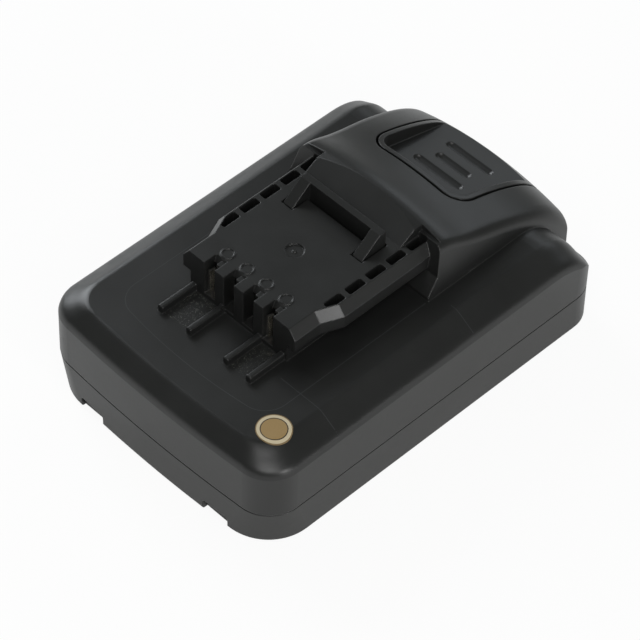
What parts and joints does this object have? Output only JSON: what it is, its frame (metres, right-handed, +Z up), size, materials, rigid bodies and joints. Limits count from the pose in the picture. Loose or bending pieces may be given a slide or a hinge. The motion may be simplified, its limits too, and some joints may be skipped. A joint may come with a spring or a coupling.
{
  "type": "power tool battery pack",
  "caption": "Slide-on cordless tool battery pack with rails, terminal slots, a row of round cells and a sprung release latch.",
  "frame": {"origin": "middle of the base, on the surface the pack stands on", "axes": "+Z up; -Y towards the terminal end, which enters the tool first; X across the pack"},
  "size_m": [0.075, 0.1114, 0.0447],
  "materials": {
    "case": "satin black moulded plastic",
    "latch": "satin black moulded plastic",
    "holder": "black moulded plastic",
    "block": "black moulded plastic",
    "board": "green solder mask over glass fibre",
    "chip": "black chip packages",
    "component": "ceramic components",
    "bead": "black sensor bead",
    "paper": "pale insulating sheet",
    "label": "gold-coloured round label",
    "can": "nickel-plated steel",
    "sleeve": "blue shrink sleeve",
    "contact": "tin-plated copper",
    "strip": "nickel strip",
    "spring": "spring steel wire",
    "steel": "zinc-plated steel"
  },
  "bodies": {
    "pack": {"lower_case": "case", "upper_case": "case", "cell_holder_left": "holder", "cell_holder_right": "holder", "circuit_board": "board", "board_screws": "steel", "case_screws": "steel", "terminal_block": "block", "controller_chip": "chip", "power_transistors": "chip", "shunt_resistor": "steel", "small_components": "component", "thermistor": "bead", "insulation_left": "paper", "insulation_right": "paper", "round_label": "label", "cell_1_can": "can", "cell_1_cap": "can", "cell_1_ring": "paper", "cell_1_sleeve": "sleeve", "cell_2_can": "can", "cell_2_cap": "can", "cell_2_ring": "paper", "cell_2_sleeve": "sleeve", "cell_3_can": "can", "cell_3_cap": "can", "cell_3_ring": "paper", "cell_3_sleeve": "sleeve", "cell_4_can": "can", "cell_4_cap": "can", "cell_4_ring": "paper", "cell_4_sleeve": "sleeve", "cell_5_can": "can", "cell_5_cap": "can", "cell_5_ring": "paper", "cell_5_sleeve": "sleeve", "contact_negative": "contact", "contact_signal_1": "contact", "contact_signal_2": "contact", "contact_positive": "contact", "strip_negative": "strip", "strip_1_2": "strip", "strip_2_3": "strip", "strip_3_4": "strip", "strip_4_5": "strip", "strip_positive": "strip", "latch_spring_left": "spring", "latch_spring_right": "spring"},
    "latch": {"release_latch": "latch"}
  },
  "joints": [
    {"name": "latch_press", "type": "slide", "parent": "pack", "child": "latch", "axis": [0, 0, -1], "range_m": [0, 0.0045], "stiffness_N_per_m": 1200, "springref_m": -0.003, "deforming": ["latch_spring_left", "latch_spring_right"]}
  ]
}
